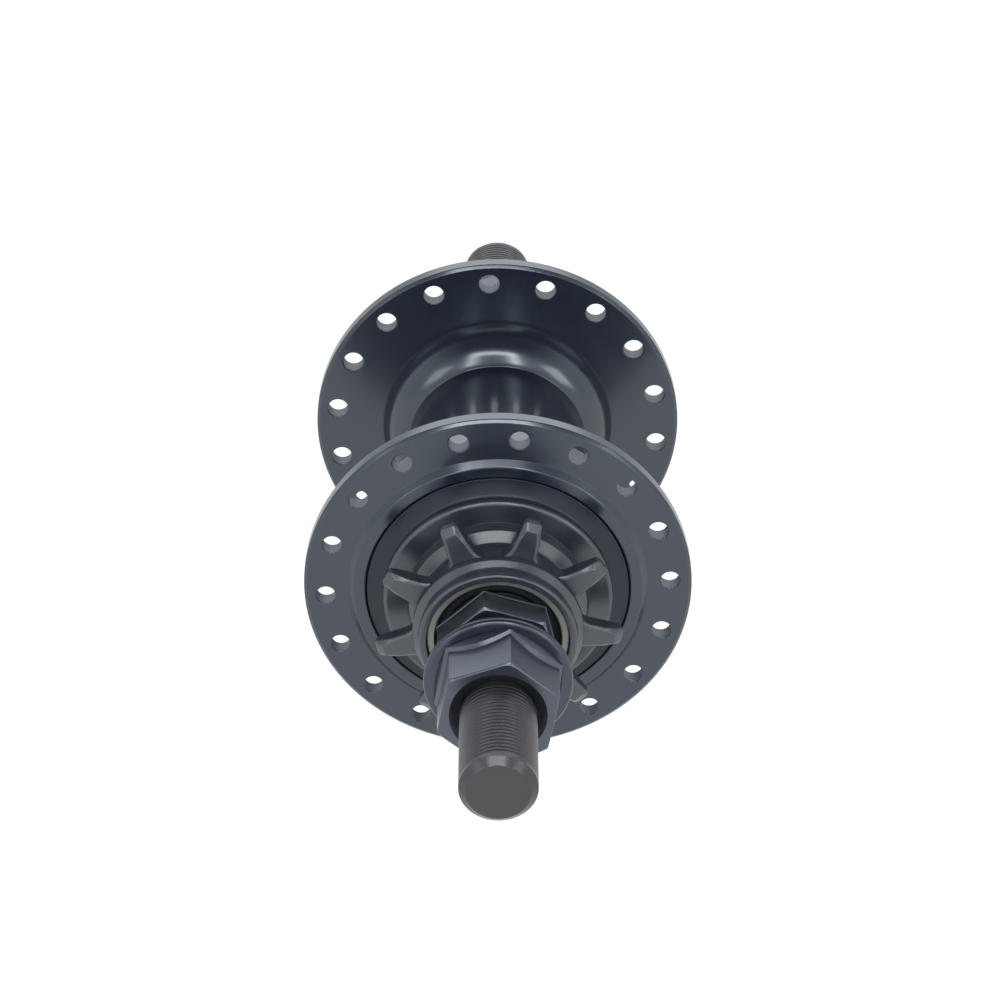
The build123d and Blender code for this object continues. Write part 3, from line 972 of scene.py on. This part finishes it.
@dataclass
class Axle:
    """Axle: a threaded rod whose plain, thicker middle carries the bearings.

    Attributes:
        wave_height: height of the thread's triangle wave, before its crests and roots are cut off.
        wave_cut: how much of it is cut off below.
        seam: distance between the plain middle's end and the thread's first row.
        end_row: distance from the last row of the thread to the chamfer's first, and radius of the end's
            inner row.
        held_stretches: from where to where the nuts hold the rod.
    """

    thread_radius: float = 6.9
    held_radius: float = 6.7
    seat_radius: float = 7.5
    seat_end: float = 49.6
    thread_pitch: float = 1.0
    thread_depth: float = 0.13
    wave_height: float = 1.35
    wave_cut: float = 0.2
    seam: float = 0.01
    end_row: tuple[float, float] = (0.05, 2.0)
    end_chamfer: float = 1.35
    run_out: float = 1.2
    rows_per_pitch: int = 10
    columns: int = 96
    held_stretches: tuple[tuple[float, float], ...] = ((49.6, 55.0), (62.6, 72.4))

    def half_stations(self, end: float) -> Array:
        """Give the stations of one threaded end, evenly spaced, up to where its chamfer starts."""
        start = self.seat_end + self.seam
        stop = end - self.end_chamfer
        count = int((stop - start) / self.thread_pitch * self.rows_per_pitch)
        return np.linspace(start, stop, count)

    def threaded(self, station: Array, end: float, angle: Array) -> Array:
        """Give the radius of the threaded end.

        The groove's depth at a point is that of a triangle wave of (station / pitch - angle / full turn), so
        that the wave climbs one pitch in a turn, with its crests and roots cut off. It fades out towards the
        chamfer, and inside a nut the rod is plain.

        Args:
            station: distances from the hub's middle, (rows,).
            end: distance of the axle's end.
            angle: angles of the columns.

        Returns:
            Radii, (rows, columns).
        """
        phase = (station[:, None] / self.thread_pitch - angle[None] / FULL_TURN) % 1.0
        groove = np.clip(self.wave_height * np.abs(2 * phase - 1) - self.wave_cut, 0, 1)
        fade = np.clip((end - self.end_chamfer - station) / self.run_out, 0, 1)
        radius = self.thread_radius - self.thread_depth * groove * fade[:, None]
        for low, high in self.held_stretches:
            held = (station > low) & (station < high)
            radius[held] = self.held_radius - self.thread_depth
        return radius

    def build(self) -> None:
        """Make the axle and put it in place."""
        _, low, high = node_span("axle")
        angle = even_angles(self.columns)
        station = self.half_stations(high)
        left = self.threaded(station, high, angle)
        right = self.threaded(station, -low, angle)[::-1]
        chamfer = high - self.end_chamfer
        end_radius, end_station = rounded([
            (self.thread_radius, chamfer), (self.thread_radius, chamfer + self.end_row[0], 0.5, 4),
            (self.thread_radius - self.end_chamfer, high, 0.5, 5), (self.end_row[1], high),
            (0.0, high),
        ], self.columns, closed=False)
        seat = np.broadcast_to([[self.seat_radius], [self.seat_radius]], (2, self.columns))
        seat_station = np.broadcast_to([[-self.seat_end], [self.seat_end]], (2, self.columns))
        radius = np.concatenate([end_radius[::-1], right, seat, left, end_radius])
        spread = np.broadcast_to(station[:, None], left.shape)
        stations = np.concatenate([-end_station[::-1], -spread[::-1], seat_station, spread, end_station])
        surface = wrapped(radius, stations, angle, closed=False)
        place_piece(surface, "axle_skin", AXLE_BLACK, Body.AXLE, "axle")


@dataclass
class TurnedRing:
    """A plain ring about the axle, with its corners rounded.

    Attributes:
        node: node of the construction that it stands for, which gives its outside and its length.
        bore: radius of its bore.
        rounding: radius of its corners.
        groove: depth of a round groove in the outer wall or the bore, for a bearing's balls.
        groove_outside: whether the groove is in the outer wall.
        forward: how much further it reaches towards the drive side.
        groove_share: half of the groove's width, as a share of the ring's.
        floor_share: half of the groove's floor, as a share of that.
    """

    node: str
    bore: float
    finish: Finish
    body: Body
    rounding: float = 0.3
    groove: float = 0.0
    groove_outside: bool = True
    forward: float = 0.0
    groove_share: float = 0.28
    floor_share: float = 0.4

    def build(self) -> None:
        """Make the ring and put it in place."""
        radius, low, high = node_span(self.node)
        low -= self.forward
        middle, wide = (low + high) / 2, self.groove_share * (high - low)
        walls = {"outer": (radius, self.groove_outside), "bore": (self.bore, not self.groove_outside)}
        cut = self.groove if self.groove_outside else -self.groove

        def wall(name: str, first: float, last: float) -> Outline:
            """Give one wall's corners from one station to another, with its groove if it has one."""
            reach, grooved = walls[name]
            ends = [(reach, first, self.rounding), (reach, last, self.rounding)]
            if not self.groove or not grooved:
                return ends
            toward = math.copysign(wide, last - first)
            floor = toward * self.floor_share
            return [
                ends[0],
                (reach, middle - toward, 0.1, 2),
                (reach - cut, middle - floor, 1.2, 4),
                (reach - cut, middle + floor, 1.2, 4),
                (reach, middle + toward, 0.1, 2),
                ends[1],
            ]

        surface = turned([*wall("outer", low, high), *wall("bore", high, low)])
        place_piece(surface, f"{self.node}_skin", self.finish, self.body, self.node)


@dataclass
class SealedBearings:
    """The four sealed bearings: their races, and the seals that show.

    Attributes:
        shaft_radius: radius of the inner races' bore.
        dust_seal_bore: radius of the left dust seal's bore.
        seal_rings: radii of the steps in the driver's seal, from its raised ring to its inner lip.
        races: name of each bearing, bore of its outer race, how much further that race reaches towards the
            drive side, and the body that it rides on.
    """

    shaft_radius: float = 7.5
    dust_seal_bore: float = 11.9
    seal_rings: tuple[float, ...] = (10.35, 10.15, 9.7, 9.25)
    races: tuple[tuple[str, float, float, Body], ...] = (
        ("driver_outer_bearing", 11.5, 1.2, Body.DRIVER),
        ("driver_inner_bearing", 10.7, 0.0, Body.DRIVER),
        ("drive_shell_bearing", 12.3, 0.0, Body.HUB),
        ("left_shell_bearing", 12.3, 0.0, Body.HUB),
    )

    def build(self) -> None:
        """Make the races and seals and put them in place."""
        for name, bore, forward, body in self.races:
            TurnedRing(f"{name}_inner_race", self.shaft_radius, SHADED_RACE, Body.AXLE, 0.25, 0.5).build()
            TurnedRing(f"{name}_outer_race", bore, BEARING_STEEL, body, 0.3, 0.4, False, forward).build()
        self.driver_seal()
        TurnedRing("left_dust_seal", self.dust_seal_bore, SEAL_RUBBER, Body.HUB, 0.15).build()

    def driver_seal(self) -> None:
        """Make the seal of the driver's outer bearing: a disc with a raised ring and a thin inner lip."""
        radius, low, high = node_span("driver_bearing_seal")
        ring, ring_foot, lip, bore = self.seal_rings
        surface = turned([
            (radius, low + 0.1, 0.1, 2), (radius - 0.5, low + 0.1, 0.1, 2),
            (radius - 0.8, low + 0.25, 0.1, 2), (ring, low + 0.25, 0.1, 2),
            (ring_foot, low + 0.05, 0.08, 2), (lip, low + 0.05, 0.1, 2),
            (bore, low + 0.35, 0.1, 2), (bore, high, 0.1, 2),
            (radius, high, 0.1, 2),
        ])
        place_piece(surface, "driver_seal_skin", SEAL_RUBBER, Body.DRIVER, "driver_bearing_seal")


@dataclass
class Spacers:
    """Collars, sleeves, washers and the left cone, which set the stack along the axle."""

    shaft_radius: float = 7.5
    washer_bore: float = 7.2
    cone_nose: float = 9.2
    cone_nose_length: float = 0.2
    cone_neck: float = 11.6
    cone_collar: float = 14.6
    cone_collar_start: float = 33.6
    cone_collar_end: float = 35.8
    cone_foot: float = 12.4
    cone_top: float = 10.2

    def build(self) -> None:
        """Make them and put them in place."""
        TurnedRing("drive_collar", self.shaft_radius, SPACER_BLACK, Body.AXLE).build()
        for node in ("driver_sleeve", "side_collar", "middle_sleeve"):
            TurnedRing(node, self.shaft_radius, SPACER_BARE, Body.AXLE, 0.2).build()
        for node in ("drive_washer", "left_washer"):
            TurnedRing(node, self.washer_bore, WASHER_BLACK, Body.AXLE, 0.8).build()
        self.left_cone()

    def left_cone(self) -> None:
        """Make the left cone: a nose, a dust collar and a long taper down to the locknut."""
        _, low, high = node_span("left_cone")
        surface = turned([
            (self.shaft_radius, low), (self.cone_nose, low),
            (self.cone_nose, low + self.cone_nose_length),
            (self.cone_neck, low + self.cone_nose_length, 0.2, 2),
            (self.cone_neck, self.cone_collar_start, 0.2, 2),
            (self.cone_collar, self.cone_collar_start, 0.4),
            (self.cone_collar, self.cone_collar_end, 0.6, 5),
            (self.cone_foot, self.cone_collar_end, 0.8, 5), (self.cone_top, high, 0.35),
            (self.shaft_radius, high),
        ])
        place_piece(surface, "left_cone_skin", CONE_BLACK, Body.AXLE, "left_cone")


def dress_freewheel(nodes: dict[str, bpy.types.Object]) -> None:
    """Give the ratchet ring, the pawls and the springs a finish, on the shapes of the construction.

    Args:
        nodes: objects of the construction by name.
    """
    # The ratchet ring's finish carries painted shade: its steel is darkened like the inside of the well
    steels = {"ratchet_ring": RATCHET_PAINTED_SHADE, "pawl_springs": SPRING_STEEL}
    for name in ("ratchet_ring", "pawl_1", "pawl_2", "pawl_3", "pawl_springs"):
        finish = steels.get(name, PAWL_STEEL)
        nodes[name].data.materials.clear()
        nodes[name].data.materials.append(finish.material())
        LOG.info("%s: dressed as %s", name, finish.name)


@dataclass
class Panel:
    """A soft rectangular light that faces the origin.

    Attributes:
        place, size: its middle, and its width and height, in metres.
        glow: radiance, where 1 is the picture's white.
        lean: angle by which its top leans to the right, in degrees.
    """

    name: str
    place: Triple
    size: tuple[float, float]
    glow: float
    lean: float = 0.0

    def build(self) -> None:
        """Make the light, whose watts are its radiance times its area times pi."""
        light = bpy.data.lights.new(self.name, "AREA")
        light.shape = "RECTANGLE"
        light.size, light.size_y = self.size
        light.energy = self.glow * self.size[0] * self.size[1] * math.pi
        lamp = bpy.data.objects.new(self.name, light)
        lamp.location = self.place
        lean = Quaternion((0, 0, 1), math.radians(-self.lean))
        turn = (-Vector(self.place)).to_track_quat("-Z", "Y") @ lean
        lamp.rotation_euler = turn.to_euler()
        bpy.context.scene.collection.objects.link(lamp)


@dataclass
class Studio:
    """Pale floor, soft lights and the camera at the photograph's viewing angle."""

    target: Triple = (0.08, -29.7, 18.2)
    elevation: float = 31.72
    azimuth: float = -0.12
    roll: float = -0.05
    distance: float = 646.1
    lens: float = 126.96
    sensor: float = 36.0
    floor_drop: float = 0.12
    floor_size: float = 12.0
    floor_glow: float = 1.02
    floor_colour: tuple[float, ...] = (0.05, 0.05, 0.05, 1)
    wall_colour: tuple[float, ...] = (0.93, 0.97, 1.0, 1)
    ceiling_colour: tuple[float, ...] = (0.10, 0.11, 0.13, 1)
    wall_glow: float = 1.0
    wall_top: float = 0.45
    ceiling_start: float = 0.95
    panels: tuple[Panel, ...] = (
        Panel("top_bar", (-0.11, -1.12, 1.38), (1.05, 0.26), 7.5),
        Panel("left_bar", (-0.52, -1.45, 1.00), (0.20, 0.85), 6.5, -14.6),
        Panel("right_bar", (0.35, -1.47, 1.03), (0.17, 0.85), 9.8, 8.3),
        Panel("left_wall", (-1.22, -1.25, 0.62), (0.55, 0.6), 2.4),
        Panel("right_wall", (1.22, -1.25, 0.62), (0.6, 0.7), 3.2),
        Panel("back_wall", (0.0, 1.60, 1.28), (2.6, 1.25), 1.55),
    )

    def floor(self) -> None:
        """Make the floor, a wide pale square below the hub that glows evenly."""
        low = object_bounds()[0].z - self.floor_drop
        half = self.floor_size / 2
        mesh = bpy.data.meshes.new("floor")
        corners = [(-half, -half, low), (half, -half, low), (half, half, low), (-half, half, low)]
        mesh.from_pydata(corners, [], [(0, 1, 2, 3)])
        plane = bpy.data.objects.new("floor", mesh)
        bpy.context.scene.collection.objects.link(plane)
        paper = bpy.data.materials.new("pale_paper")
        paper.use_nodes = True
        Graph(paper.node_tree).feed(paper.node_tree.nodes["Principled BSDF"], {
            "Base Color": self.floor_colour,
            "Roughness": 1.0,
            "Emission Color": (1, 1, 1, 1),
            "Emission Strength": self.floor_glow,
        })
        mesh.materials.append(paper)
        plane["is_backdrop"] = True

    def world(self) -> None:
        """Light the room: walls that glow, going over to a dark ceiling with the height of the direction."""
        world = bpy.data.worlds.new("room")
        world.use_nodes = True
        graph = Graph(world.node_tree)
        _, _, height = graph.add("SeparateXYZ", {0: graph.add("TexCoord", {}).outputs["Generated"]}).outputs
        share = graph.spread(height, (self.wall_top, self.ceiling_start), interpolation_type="SMOOTHSTEP")
        colour = graph.blend(share, self.wall_colour, self.ceiling_colour)
        graph.feed(world.node_tree.nodes["Background"], {"Color": colour, "Strength": self.wall_glow})
        bpy.context.scene.world = world

    def camera(self) -> None:
        """Make the camera, which looks along +Y and down at the target."""
        tilt, swing = math.radians(self.elevation), math.radians(self.azimuth)
        level = math.cos(tilt)
        back = Vector((math.sin(swing) * level, -math.cos(swing) * level, math.sin(tilt)))
        camera = bpy.data.cameras.new("camera")
        camera.lens, camera.sensor_width = self.lens, self.sensor
        camera.clip_start, camera.clip_end = 0.01, 50
        eye = bpy.data.objects.new("camera", camera)
        eye.location = (Vector(self.target) + back * self.distance) * MM
        eye.rotation_euler = (math.radians(90) - tilt, math.radians(self.roll), swing)
        bpy.context.scene.collection.objects.link(eye)
        bpy.context.scene.camera = eye

    def build(self) -> None:
        """Make the studio."""
        self.floor()
        self.world()
        for panel in self.panels:
            panel.build()
        self.camera()
        bpy.context.scene.view_settings.view_transform = "Standard"
        LOG.info("studio: %d lights", len(self.panels))


def build_hub(nodes: dict[str, bpy.types.Object]) -> None:
    """Build every sub-assembly of the hub, from the shell to the last nut.

    Args:
        nodes: objects of the construction by name.
    """
    for part in (HubShell(), Driver(), SealedBearings(), Spacers(), Axle()):
        part.build()
    for side, name in ((Side.DRIVE, "drive"), (Side.LEFT, "left")):
        HexNut(side, f"{name}_locknut", 42.8, 7.4, 0.6, 10.9, 0.2, 0.2).build()
        HexNut(side, f"{name}_axle_nut", 19.6, 8.7, 1.3, 10.9, 0.66, 1.4).build()
    dress_freewheel(nodes)


def main() -> None:
    logging.basicConfig(level=logging.INFO, format="%(name)s: %(message)s")
    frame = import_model()
    build_hub(frame["nodes"])
    Studio().build()


if __name__ == "__main__":
    main()
